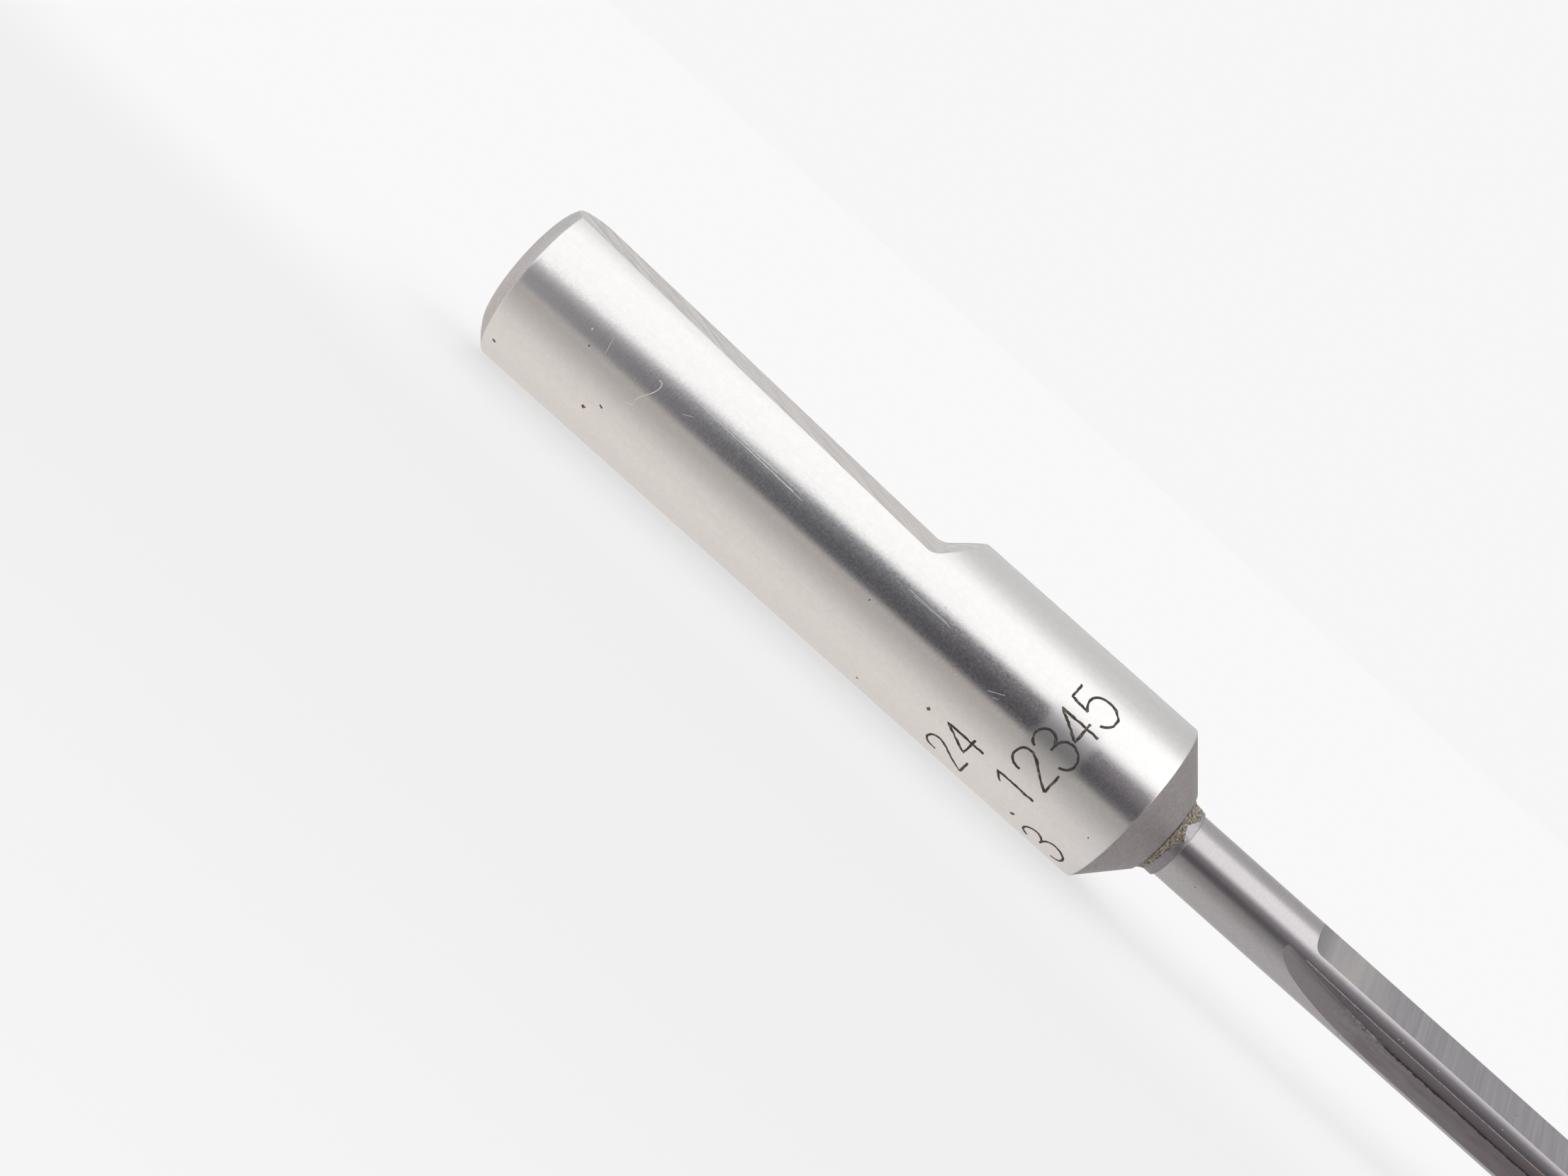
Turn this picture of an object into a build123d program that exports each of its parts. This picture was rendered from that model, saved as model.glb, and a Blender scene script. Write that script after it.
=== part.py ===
from build123d import *
from math import acos, atan2, cos, degrees, radians, sin, tan
import os

# A deep hole drill: a straight-fluted, two-lip carbide drill brazed into a steel driver.
# The origin is on the axis, at the shoulder where the shank's full diameter ends. X runs
# along the axis to the drill point, and the clamping flat is on top, towards Z.
# Lengths are in millimetres and angles in degrees.

# Driver: the cylindrical shank that the machine's holder grips, and its nose
shank_diameter = 10.0
shank_length = 41.4
rear_chamfer_length = 0.9
rear_chamfer_depth = 1.1
rear_chamfer_crown = 12.0
nose_half_angle = 47.5
nose_wall = 0.505

# Clamping flat: it starts at the rear face and gets deeper towards the nose
flat_rear_height = 4.02
flat_slope = 2.0
flat_length = 25.35
flat_ramp_angle = 45.0
flat_corner_radius = 1.0

# Socket for the drill, coolant bore and centre in the driver
socket_depth = 24.0
coolant_bore_diameter = 3.0
centre_mouth_diameter = 5.0
centre_angle = 60.0

# Braze: the film round the rod, and the collar that ran out in front of the nose
braze_gap = 0.1
braze_collar_length = 1.0
braze_collar_thickness = 0.13
braze_foot_thickness = 0.4
braze_foot_length = 0.55
braze_lip_radius = 0.06

# Carbide drill. Its clocking is the first lip's angle, counted from Y towards Z
drill_diameter = 3.95
drill_length = 130.0
drill_rear_chamfer = 0.3
drill_clocking = 178.2

# Flutes: two ground V grooves, on opposite sides
flute_angle = 120.0
flute_root_distance = 1.11
flute_root_lead = 34.3
flute_root_radius = 0.15
flute_full_depth_from_nose = 17.36
flute_plunge_lag = 36.7
grinding_wheel_radius = 33.5

# Lands: a round margin at each lip, and a flat ground relief behind it
margin_width = 0.8
relief_depth = 0.405
relief_start_from_nose = 9.0
relief_corner_radius = 0.65

# Coolant channels, one in each land
channel_diameter = 0.6
channel_distance = 1.0
channel_lag = 54.0

# Drill point: two plane flanks, and a gash in front of each lip that thins the web
point_angle = 130.0
lip_clearance = 10.0
thinned_web = 0.35
gash_angle = 100.0
gash_slope = 40.0

# Places and sizes that follow from the ones above
shank_radius = shank_diameter / 2
drill_radius = drill_diameter / 2
socket_radius = drill_radius + braze_gap
nose_radius = socket_radius + nose_wall
rear_face = -shank_length
nose_face = (shank_radius - nose_radius) / tan(radians(nose_half_angle))
socket_floor = nose_face - socket_depth
drill_tip = socket_floor + drill_length
flat_drop = tan(radians(flat_slope))
flat_end = rear_face + flat_length
flat_end_height = flat_rear_height - flat_length * flat_drop
flute_full_depth = nose_face + flute_full_depth_from_nose
relief_start = nose_face + relief_start_from_nose
margin_angle = degrees(margin_width / drill_radius)
relief_half_angle = degrees(acos(1 - relief_depth / drill_radius))
ahead_of_everything = drill_tip + drill_diameter
axial = Vector(1, 0, 0)


def across(angle, distance=1.0):
    # A vector square to the axis, its angle counted from Y towards Z
    return Vector(0, distance * cos(radians(angle)), distance * sin(radians(angle)))


def section_plane(x):
    # Square to the axis at x, with local X along Y and local Y along Z
    return Plane(origin=(x, 0, 0), x_dir=(0, 1, 0), z_dir=(1, 0, 0))


def turned(points):
    # A solid turned about the axis from its half profile of (x, radius) points
    return revolve(make_face(Polyline(points, close=True)), Axis.X, 360)


def bar(radius, start, end, centre=(0, 0)):
    circle = Pos(*centre) * Circle(radius)
    return extrude(section_plane(start) * circle, end - start)


def driver_blank():
    # The chamfer is a little rounded, as one that is ground by hand
    chamfer_foot = (rear_face, shank_radius - rear_chamfer_depth)
    chamfer_end = (rear_face + rear_chamfer_length, shank_radius)
    outline = [
        RadiusArc(chamfer_foot, chamfer_end, rear_chamfer_crown),
        Polyline(chamfer_end, (0, shank_radius), (nose_face, nose_radius)),
        Polyline((nose_face, nose_radius), (nose_face, 0), (rear_face, 0), chamfer_foot),
    ]
    return revolve(make_face(outline), Axis.X, 360)


def clamping_flat_cut():
    # Above the flat and its ramp, which leave the shank in a rounded inside corner
    high = 2 * shank_diameter
    corner = (flat_end, flat_end_height)
    ramp_run = (high - flat_end_height) / tan(radians(flat_ramp_angle))
    points = [
        (rear_face - high, flat_rear_height + high * flat_drop),
        corner,
        (corner[0] + ramp_run, high),
        (rear_face - high, high),
    ]
    profile = make_face(Polyline(points, close=True))
    inside_corner = profile.vertices().sort_by_distance((*corner, 0))[0]
    profile = fillet(inside_corner, flat_corner_radius)
    return extrude(Plane.XZ * profile, shank_diameter, both=True)


def centre_cut():
    mouth = centre_mouth_diameter / 2
    depth = mouth / tan(radians(centre_angle / 2))
    return turned([(rear_face, 0), (rear_face, mouth), (rear_face + depth, 0)])


def make_driver():
    driver = driver_blank()
    driver -= clamping_flat_cut()
    driver -= bar(socket_radius, socket_floor, nose_face)
    driver -= bar(coolant_bore_diameter / 2, rear_face, socket_floor)
    driver -= centre_cut()
    return driver


def make_braze():
    # One solid: the thin film in the socket, and the hollow-fronted collar outside it
    foot = drill_radius + braze_foot_thickness
    land = drill_radius + braze_collar_thickness
    hollow_end = nose_face + braze_foot_length
    collar_end = nose_face + braze_collar_length
    lip_start = collar_end - braze_lip_radius
    hollow = ThreePointArc(
        (nose_face, foot),
        (nose_face + 0.35 * braze_foot_length, land + 0.3 * (foot - land)),
        (hollow_end, land),
    )
    lip = RadiusArc((lip_start, land), (collar_end, land - braze_lip_radius), braze_lip_radius)
    edges = [
        Line((socket_floor, drill_radius), (socket_floor, socket_radius)),
        Line((socket_floor, socket_radius), (nose_face, socket_radius)),
        Line((nose_face, socket_radius), (nose_face, foot)),
        hollow,
        Line((hollow_end, land), (lip_start, land)),
        lip,
        Line((collar_end, land - braze_lip_radius), (collar_end, drill_radius)),
        Line((collar_end, drill_radius), (socket_floor, drill_radius)),
    ]
    return revolve(make_face(edges), Axis.X, 360)


def flute_section():
    # The V of the first flute. Its cutting face runs from the root to the lip's corner
    far = 2 * drill_diameter
    root = across(drill_clocking + flute_root_lead, flute_root_distance)
    face = across(drill_clocking, drill_radius) - root
    face_angle = degrees(atan2(face.Z, face.Y))
    face_end = root + across(face_angle, far)
    back_end = root + across(face_angle + flute_angle, far)
    points = [(root.Y, root.Z), (face_end.Y, face_end.Z), (back_end.Y, back_end.Z)]
    profile = make_face(Polyline(points, close=True))
    bottom = profile.vertices().sort_by_distance((root.Y, root.Z, 0))[0]
    return fillet(bottom, flute_root_radius)


def flute_cuts():
    # The straight stretch, and the rising end that the grinding wheel leaves
    profile = section_plane(flute_full_depth) * flute_section()
    straight = extrude(profile, ahead_of_everything - flute_full_depth)
    root = across(drill_clocking + flute_root_lead, flute_root_distance)
    plunge = across(drill_clocking - flute_plunge_lag)
    wheel_centre = axial * flute_full_depth + root + plunge * grinding_wheel_radius
    lift = 2 * drill_diameter
    sweep = degrees(acos(1 - lift / (grinding_wheel_radius + lift)))
    runout = revolve(profile, Axis(wheel_centre, plunge.cross(axial)), sweep)
    return [straight, runout]


def relief_cut():
    # Above the ground flat. Its near end has the wheel's round corner
    normal = across(drill_clocking - margin_angle - relief_half_angle)
    seat = drill_radius - relief_depth
    length = ahead_of_everything - relief_start
    middle = axial * (relief_start + length / 2) + normal * seat
    plane = Plane(origin=middle, x_dir=axial, z_dir=normal)
    block = extrude(plane * Rectangle(length, 2 * drill_diameter), drill_diameter)
    near_edge = block.edges().sort_by_distance(normal * seat + axial * relief_start)[0]
    return fillet(near_edge, relief_corner_radius)


def flank_cut():
    # In front of the first lip's flank, a plane that falls away behind the lip
    half = radians(point_angle / 2)
    clearance = radians(lip_clearance)
    cone_normal = axial * sin(half) + across(drill_clocking) * cos(half)
    normal = cone_normal * cos(clearance) - across(drill_clocking + 90) * sin(clearance)
    plane = Plane(origin=(drill_tip, 0, 0), z_dir=normal)
    wide = 6 * drill_diameter
    return extrude(plane * Rectangle(wide, wide), wide)


def gash_cut():
    # A wedge whose one side carries the first lip in to the thinned web
    slope = radians(gash_slope)
    lip = across(drill_clocking)
    bottom_line = axial * -cos(slope) + lip * sin(slope)
    face_line = axial * sin(slope) + lip * cos(slope)
    start = axial * drill_tip + across(drill_clocking + 90, thinned_web / 2)
    plane = Plane(origin=start, x_dir=face_line, z_dir=bottom_line)
    far = 3 * drill_diameter
    opening = radians(gash_angle)
    wedge = Polyline([(0, 0), (far, 0), (far * cos(opening), -far * sin(opening))], close=True)
    return extrude(plane * make_face(wedge), far, both=True)


def channel_cut():
    centre = across(drill_clocking - channel_lag, channel_distance)
    return bar(channel_diameter / 2, socket_floor, drill_tip, (centre.Y, centre.Z))


def make_drill():
    drill = turned([
        (socket_floor, 0),
        (socket_floor, drill_radius - drill_rear_chamfer),
        (socket_floor + drill_rear_chamfer, drill_radius),
        (drill_tip, drill_radius),
        (drill_tip, 0),
    ])
    for cut in [relief_cut(), *flute_cuts(), channel_cut(), flank_cut(), gash_cut()]:
        drill -= cut
        drill -= cut.rotate(Axis.X, 180)
    return drill


def main():
    os.makedirs("parts", exist_ok=True)
    export_step(make_driver(), "parts/driver.step")
    export_step(make_braze(), "parts/braze_joint.step")
    export_step(make_drill(), "parts/drill.step")


main()
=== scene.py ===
# %% [markdown]
# # A deep hole drill
# The tool is one rigid piece: a carbide drill with two straight flutes, brazed into a steel
# driver that the machine grips by its round shank. This script dresses its CAD model for
# a close look, and each step says what the real surface is and how it is made here.
# Sizes are written in millimetres and become metres where a shape is made. X runs along
# the axis to the point, and Z is up.

# %% Load the frame
from math import acos, atan2, ceil, cos, degrees, hypot, pi, radians, sin, sqrt, tan

import bmesh
import bpy
from mathutils import Matrix, Vector
from mathutils import noise as turbulence_noise


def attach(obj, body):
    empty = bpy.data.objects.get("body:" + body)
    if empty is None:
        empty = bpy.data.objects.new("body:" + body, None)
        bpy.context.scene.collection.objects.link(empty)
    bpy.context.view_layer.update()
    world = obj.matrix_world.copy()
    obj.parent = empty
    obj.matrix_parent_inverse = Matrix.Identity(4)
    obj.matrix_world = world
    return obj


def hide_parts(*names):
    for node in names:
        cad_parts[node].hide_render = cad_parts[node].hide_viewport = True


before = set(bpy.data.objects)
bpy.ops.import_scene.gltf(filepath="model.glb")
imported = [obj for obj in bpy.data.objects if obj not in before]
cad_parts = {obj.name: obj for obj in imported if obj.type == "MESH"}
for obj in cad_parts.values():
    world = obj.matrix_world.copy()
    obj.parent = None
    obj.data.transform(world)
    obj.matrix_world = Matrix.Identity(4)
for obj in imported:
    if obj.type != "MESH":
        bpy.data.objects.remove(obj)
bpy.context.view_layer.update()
scene = bpy.context.scene
scene.view_settings.view_transform = "Standard"
MM = 0.001
print("CAD nodes:", sorted(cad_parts))

# %% [markdown]
# ## The sizes that the looks follow
# The same named values as in the CAD source, in millimetres, so that a mark or a finish
# lands on the edge it belongs to. An angle round the axis is counted from Y towards Z.

# %% Sizes from the CAD source
shank_radius = 5.0
rear_face = -41.4
rear_chamfer_length = 0.9
rear_chamfer_depth = 1.1
nose_face = 2.2175
nose_radius = 2.58
flat_slope = radians(2.0)
flat_end = -16.05
flat_end_height = 3.1348
flat_corner_radius = 1.0
socket_radius = 2.075
socket_floor = -21.7825
coolant_bore_radius = 1.5
centre_mouth_radius = 2.5
drill_radius = 1.975
drill_tip = 108.2175
lip_angle = 178.2
flute_angle = 120.0
root_angle = lip_angle + 34.3
root_distance = 1.11
root_radius = 0.15
flute_full_depth = 19.58
wheel_radius = 33.5
plunge_angle = lip_angle - 36.7
relief_angle = lip_angle - 60.56
relief_seat = 1.57
relief_start = 11.22
relief_corner_radius = 0.65
channel_radius = 0.3
channel_distance = 1.0
channel_angle = lip_angle - 54.0
point_half_angle = radians(65.0)
lip_clearance = radians(10.0)
thinned_web = 0.35
gash_angle = radians(100.0)
gash_slope = radians(40.0)
rod_rear_chamfer = 0.3
print("the tool runs from", rear_face, "to", drill_tip, "mm")


def across(angle, distance=1.0):
    """A vector square to the axis, its angle in degrees from Y towards Z."""
    return Vector((0, distance * cos(radians(angle)), distance * sin(radians(angle))))


# %% [markdown]
# ## The camera
# The view was solved from the photograph's straight edges, so the camera's place and its
# three directions are written down as numbers. It stands only about 110 mm from the tool.

# %% Camera
camera_place = Vector((-16.59, -106.64, 13.53)) * MM
camera_right = Vector((0.7447, 0.1341, 0.6538))
camera_up = Vector((-0.6663, 0.0945, 0.7396))
camera_ahead = Vector((-0.0374, 0.9865, -0.1598))

camera_data = bpy.data.cameras.new("camera")
camera_data.sensor_fit = "HORIZONTAL"
camera_data.sensor_width = 36.0
camera_data.lens = 47.72
camera_data.clip_start = 0.005
camera = bpy.data.objects.new("camera", camera_data)
scene.collection.objects.link(camera)
turn = Matrix((camera_right, camera_up, -camera_ahead)).transposed()
camera.matrix_world = Matrix.Translation(camera_place) @ turn.to_4x4()
scene.camera = camera
print("camera at", [round(c / MM, 2) for c in camera_place], "mm")

# %% [markdown]
# ## Small helpers for materials
# A material here is a Principled shader with a few nodes in front of it. These helpers
# keep each finish short. A pattern reads Object coordinates, scaled to millimetres.


# %% Material helpers
# The node tree that these helpers build in: that of the newest finish, or of the room
tree = None


def build_in(owner):
    """Turn to the node tree of a material or a world."""
    global tree
    owner.use_nodes = True
    tree = owner.node_tree


def feed(socket, value):
    """Give a socket a number or a colour, or join another socket to it."""
    if isinstance(value, bpy.types.NodeSocket):
        tree.links.new(value, socket)
    elif isinstance(value, (tuple, list)) and len(value) == 3 and socket.type == "RGBA":
        socket.default_value = (*value, 1.0)
    else:
        socket.default_value = value


def add_node(kind, inputs):
    """A node of a kind, each of its inputs with its value or a link."""
    node = tree.nodes.new(kind)
    for key, value in inputs.items():
        feed(node.inputs[key], value)
    return node


def new_finish(name, colour, metallic, roughness):
    """A material and its Principled shader. The helpers turn to its node tree."""
    material = bpy.data.materials.new(name)
    build_in(material)
    shader = tree.nodes["Principled BSDF"]
    feed(shader.inputs["Base Color"], colour)
    feed(shader.inputs["Metallic"], metallic)
    feed(shader.inputs["Roughness"], roughness)
    return material, shader


# %% Patterns
def place(stretch=(1, 1, 1), lean=0.0):
    """Object coordinates in millimetres, stretched along an axis that may lean about Z."""
    coordinates = tree.nodes.new("ShaderNodeTexCoord")
    mapping = add_node("ShaderNodeMapping", {
        "Vector": coordinates.outputs["Object"],
        "Rotation": (0, 0, radians(lean)),
        "Scale": [MM / share for share in stretch],
    })
    mapping.vector_type = "TEXTURE"
    return mapping.outputs["Vector"]


def noise(scale, detail=4.0, roughness=0.55, stretch=(1, 1, 1), lean=0.0):
    """Clouds of about 1/scale millimetre. A stretch under 1 draws them out along that axis."""
    return add_node("ShaderNodeTexNoise", {
        "Vector": place(stretch, lean), "Scale": scale, "Detail": detail, "Roughness": roughness,
    }).outputs[0]


def along():
    """The place along the axis, in millimetres from the shoulder."""
    return add_node("ShaderNodeSeparateXYZ", {0: place()}).outputs["X"]


def toward(direction):
    """How far a point lies in a direction, in millimetres."""
    node = add_node("ShaderNodeVectorMath", {0: place(), 1: direction})
    node.operation = "DOT_PRODUCT"
    return node.outputs["Value"]


# %% Sums and mixtures
def calc(operation, a, b=0.0):
    node = add_node("ShaderNodeMath", {0: a, 1: b})
    node.operation = operation
    return node.outputs[0]


def times(a, b):
    return calc("MULTIPLY", a, b)


def ramp(value, low, high, out_low=0.0, out_high=1.0):
    """Carry a value from one range to another, clamped, with soft ends."""
    node = add_node("ShaderNodeMapRange", {
        "Value": value, "From Min": low, "From Max": high, "To Min": out_low, "To Max": out_high,
    })
    node.interpolation_type = "SMOOTHSTEP"
    return node.outputs["Result"]


def between(value, a, b, c, d, after=0.0):
    """Rise from 0 to 1 over a to b, and fall again over c to d."""
    return times(ramp(value, a, b), ramp(value, c, d, 1.0, after))


def mix(amount, first, second, numbers=False):
    """The first where the amount is 0 and the second where it is 1: colours, or numbers."""
    node = tree.nodes.new("ShaderNodeMix")
    node.data_type = "FLOAT" if numbers else "RGBA"
    inputs = (0, 2, 3) if numbers else (0, 6, 7)
    for key, value in zip(inputs, (amount, first, second)):
        feed(node.inputs[key], value)
    return node.outputs[0 if numbers else 2]


def bump(shader, height, depth_mm, strength=1.0):
    """Relief from a height of 0 to 1 that stands for depth_mm millimetres."""
    node = add_node("ShaderNodeBump", {
        "Strength": strength, "Distance": depth_mm * MM, "Height": height,
    })
    feed(shader.inputs["Normal"], node.outputs["Normal"])


# %% [markdown]
# ## The studio
# Bright metal shows its surroundings more than its own colour. The room is drawn as bands
# that run along the tool: dark where the camera stands, a white window above, a grey far
# wall and a pale table. The bands change a little from the rear to the drill, as a real
# room does. They are fixed in the room and not tied to the camera.

# %% Room light
# Bands of light round the tool: the angle over it from the front, in degrees, and the level
room_bands = [
    (-180, 0.6), (-90, 0.7), (-60, 0.65), (-40, 0.5), (-25, 0.4), (-9, 0.45),
    (-5, 1.0), (75, 1.05), (85, 0.95), (95, 0.8), (110, 0.65), (130, 0.6), (180, 0.6),
]
# The dark front, where the camera stands: the share of a look that runs along X, and the
# colour there. It is darkest across from the shank's middle
front_colours = [
    (-0.21, (0.33, 0.32, 0.33)), (-0.12, (0.10, 0.10, 0.11)), (0.045, (0.09, 0.09, 0.10)),
    (0.075, (0.02, 0.02, 0.02)), (0.13, (0.085, 0.07, 0.08)), (0.19, (0.155, 0.15, 0.16)),
]
table_tint = (1.06, 0.995, 0.955)
drill_side_table = (0.82, 0.86, 0.895)
drill_side_wall = (0.875, 0.865, 0.87)
drill_side_window = (1.17, 1.17, 1.17)
room_strength = 1.1
background_white = 0.925


def light_ramp(value, stops, low, high):
    """A colour ramp over a range. Each stop is a place in the range and its colour."""
    node = tree.nodes.new("ShaderNodeValToRGB")
    node.color_ramp.interpolation = "LINEAR"
    marks = node.color_ramp.elements
    while len(marks) < len(stops):
        marks.new(0.5)
    for mark, (spot, colour) in zip(marks, stops):
        mark.position = (spot - low) / (high - low)
        mark.color = (*colour, 1)
    share = calc("DIVIDE", calc("SUBTRACT", value, low), high - low)
    feed(node.inputs[0], share)
    return node.outputs["Color"]


def tinted(colour, tint):
    """One colour times another."""
    node = add_node("ShaderNodeVectorMath", {0: colour, 1: tint})
    node.operation = "MULTIPLY"
    return node.outputs[0]


def soft_edge(value, middle, softness, before, after):
    """One value before a place and another after it, with a soft step between them."""
    low = calc("SUBTRACT", middle, softness)
    return ramp(value, low, calc("ADD", middle, softness), before, after)


def front_share(angle, x):
    """1 inside the dark front. Its upper edge climbs from the rear end to the nose."""
    bottom = calc("ADD", ramp(x, 0.08, 0.12, -13.6, -11.4), ramp(x, 0.14, 0.19, 0.0, -4.6))
    bottom_softness = ramp(x, 0.13, 0.19, 3.8, 14.0)
    top = calc("ADD", ramp(x, -0.25, 0.05, 18.0, 29.2), ramp(x, 0.08, 0.13, 0.0, 1.8))
    top_softness = ramp(x, 0.06, 0.13, 5.0, 10.5)
    above_bottom = soft_edge(angle, bottom, bottom_softness, 0.0, 1.0)
    below_top = soft_edge(angle, top, top_softness, 1.0, 0.0)
    return times(above_bottom, below_top)


def drill_side(angle, x):
    """Towards the drill the window is a little brighter, and the wall and table darker."""
    there = mix(ramp(angle, -12, 12), drill_side_table, drill_side_wall)
    there = mix(between(angle, 30, 45, 82, 96), there, drill_side_window)
    return mix(ramp(x, 0.13, 0.19), (1.0, 1.0, 1.0), there)


def band_colour(angle, level):
    """Warm from the table below, and white from above."""
    tint = table_tint if angle < -8 else (1.0, 1.0, 1.0)
    return tuple(level * share for share in tint)


def room_light(angle, x):
    """The bands, and the dark front over them, which is twice as bright at its top."""
    bands = [(angle_of, band_colour(angle_of, level)) for angle_of, level in room_bands]
    light = tinted(light_ramp(angle, bands, -180, 180), drill_side(angle, x))
    front = light_ramp(x, front_colours, -0.3, 0.3)
    front = mix(ramp(angle, 2, 22), front, tinted(front, (2.0, 2.0, 2.0)))
    return mix(front_share(angle, x), light, front)


def make_room():
    """The room's light, and the plain white backdrop that the camera sees in its place."""
    scene.world = bpy.data.worlds.new("room")
    build_in(scene.world)
    tree.nodes.clear()
    coordinates = tree.nodes.new("ShaderNodeTexCoord")
    split = add_node("ShaderNodeSeparateXYZ", {0: coordinates.outputs["Generated"]})
    front_way = times(split.outputs["Y"], -1.0)
    angle = calc("DEGREES", calc("ARCTAN2", split.outputs["Z"], front_way))
    light = room_light(angle, split.outputs["X"])
    room = add_node("ShaderNodeBackground", {"Color": light, "Strength": room_strength})
    seen = add_node("ShaderNodeBackground", {"Color": (background_white,) * 3})
    path = tree.nodes.new("ShaderNodeLightPath")
    pick = add_node("ShaderNodeMixShader", {
        0: path.outputs["Is Camera Ray"], 1: room.outputs[0], 2: seen.outputs[0],
    })
    add_node("ShaderNodeOutputWorld", {"Surface": pick.outputs[0]})
    print("room bands:", len(room_bands))


make_room()

# %% Soft sun
sun_path = Vector((-0.10, -0.74, -0.66))
sun_strength = 2.6


def make_sun():
    """A very wide, even light from behind, so that the floor has a soft shadow in front."""
    light = bpy.data.lights.new("soft sun", "SUN")
    light.energy = sun_strength
    light.angle = radians(80)
    sun = bpy.data.objects.new("soft sun", light)
    sun.rotation_euler = sun_path.to_track_quat("-Z", "Y").to_euler()
    sun.visible_glossy = False
    scene.collection.objects.link(sun)
    print("soft sun of strength", sun_strength)


make_sun()

# %% [markdown]
# ## The floor
# The tool can't stand, so it lies on a plain white floor that carries its soft shadow. The
# floor's white is mostly its own glow, and a broad painted shadow darkens that glow in
# front of the tool. Metal sees the room's pale table in its place, because this floor is
# far wider than any real table.

# %% Floor
# Both in metres
floor_height = -shank_radius * MM
floor_size = 6.0


def add_object(shape, name):
    """Put a bmesh into the scene as an object."""
    mesh = bpy.data.meshes.new(name)
    shape.to_mesh(mesh)
    shape.free()
    added = bpy.data.objects.new(name, mesh)
    scene.collection.objects.link(added)
    return added


def make_floor():
    """A plain white floor that glows, a little darker in front of the tool as painted shadow."""
    shape = bmesh.new()
    bmesh.ops.create_grid(shape, x_segments=1, y_segments=1, size=floor_size / 2)
    bmesh.ops.translate(shape, verts=shape.verts, vec=(0, 0, floor_height))
    floor = add_object(shape, "floor")
    material, shader = new_finish("floor white", (0.2, 0.2, 0.2), 0.0, 1.0)
    shader.inputs["Specular IOR Level"].default_value = 0.0
    # Painted shadow: the floor's glow is darker in a broad band in front of the tool
    painted_floor_shadow = between(toward((0, -1, 0)), 3, 24, 50, 90, 0.3)
    white = mix(painted_floor_shadow, (0.655, 0.655, 0.655), (0.585, 0.585, 0.585))
    feed(shader.inputs["Emission Color"], white)
    shader.inputs["Emission Strength"].default_value = 1.0
    floor.data.materials.append(material)
    floor.visible_glossy = False
    print("floor at", round(floor_height / MM, 2), "mm")


make_floor()

# %% [markdown]
# ## Making pieces
# The pieces start as a half outline that is spun about the axis, as the real ones are
# turned. Each object stays at the origin, with its place in its mesh.


# %% Piece helpers
def finish_piece(shape, name, materials, sharp_angle=28.0):
    """Turn a bmesh into an object with smooth faces and crisp edges, riding on the tool."""
    piece = add_object(shape, name)
    mesh = piece.data
    for material in materials:
        mesh.materials.append(material)
    mesh.shade_smooth()
    mesh.set_sharp_from_angle(angle=radians(sharp_angle))
    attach(piece, "root")
    print(name, "has", len(mesh.polygons), "faces")
    return piece


def spin_outline(outline, steps=144, closed=True):
    """A solid from a half outline of (x, radius) points, closed or ending on the axis."""
    shape = bmesh.new()
    corners = [shape.verts.new((x * MM, 0, r * MM)) for x, r in outline]
    next_corners = corners[1:] + corners[:1] if closed else corners[1:]
    edges = [shape.edges.new(pair) for pair in zip(corners, next_corners)]
    bmesh.ops.spin(
        shape, geom=corners + edges, cent=(0, 0, 0), axis=(1, 0, 0),
        dvec=(0, 0, 0), angle=2 * pi, steps=steps, use_merge=True,
    )
    bmesh.ops.remove_doubles(shape, verts=shape.verts, dist=1e-7)
    bmesh.ops.recalc_face_normals(shape, faces=shape.faces)
    return shape


# %% Rounded edges
def round_off(shape, parts, size, segments, kind="EDGES", clamp=False):
    """Round edges or corners of a bmesh by this many millimetres."""
    bmesh.ops.bevel(
        shape, geom=parts, offset=size * MM, offset_type="OFFSET", segments=segments,
        profile=0.5, affect=kind, material=-1, clamp_overlap=clamp,
    )


def near(a, b):
    """Whether two lengths in metres are the same."""
    return abs(a - b) < 1e-6


def bevel_ring(shape, x, radius, width):
    """Round the ring edge that lies at this place along the axis and at this radius."""
    def lies_on(point):
        return near(point.x, x * MM) and near(hypot(point.y, point.z), radius * MM)

    ring = [edge for edge in shape.edges if all(lies_on(v.co) for v in edge.verts)]
    round_off(shape, ring, width, 3, clamp=True)


# %% Cutters
def only(kind, parts):
    """Those parts of a bmesh that are of one kind."""
    return [part for part in parts if isinstance(part, kind)]


def prism(corners, way):
    """The solid between a flat outline and its copy, moved along a vector."""
    shape = bmesh.new()
    shape.faces.new([shape.verts.new(corner) for corner in corners])
    side = bmesh.ops.extrude_face_region(shape, geom=shape.faces[:])
    bmesh.ops.translate(shape, verts=only(bmesh.types.BMVert, side["geom"]), vec=way)
    return shape


def closed_cutter(shape, name):
    """An object to cut with, from a bmesh, its normals pointing outwards."""
    bmesh.ops.recalc_face_normals(shape, faces=shape.faces)
    return add_object(shape, name)


def cut_away(piece, cutter, sharp_angle=28.0):
    """Take the cutter's space out of the piece for good, and remove the cutter."""
    modifier = piece.modifiers.new("cut", "BOOLEAN")
    modifier.operation = "DIFFERENCE"
    modifier.solver = "EXACT"
    modifier.object = cutter
    graph = bpy.context.evaluated_depsgraph_get()
    cut_mesh = bpy.data.meshes.new_from_object(piece.evaluated_get(graph))
    piece.modifiers.clear()
    piece.data = cut_mesh
    bpy.data.objects.remove(cutter)
    cut_mesh.shade_smooth()
    cut_mesh.set_sharp_from_angle(angle=radians(sharp_angle))


def give_finishes(piece, finishes, finish_at):
    """Give each face of a piece the finish that the function names for it."""
    names = list(finishes)
    for face in piece.data.polygons:
        face.material_index = names.index(finish_at(face))


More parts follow.
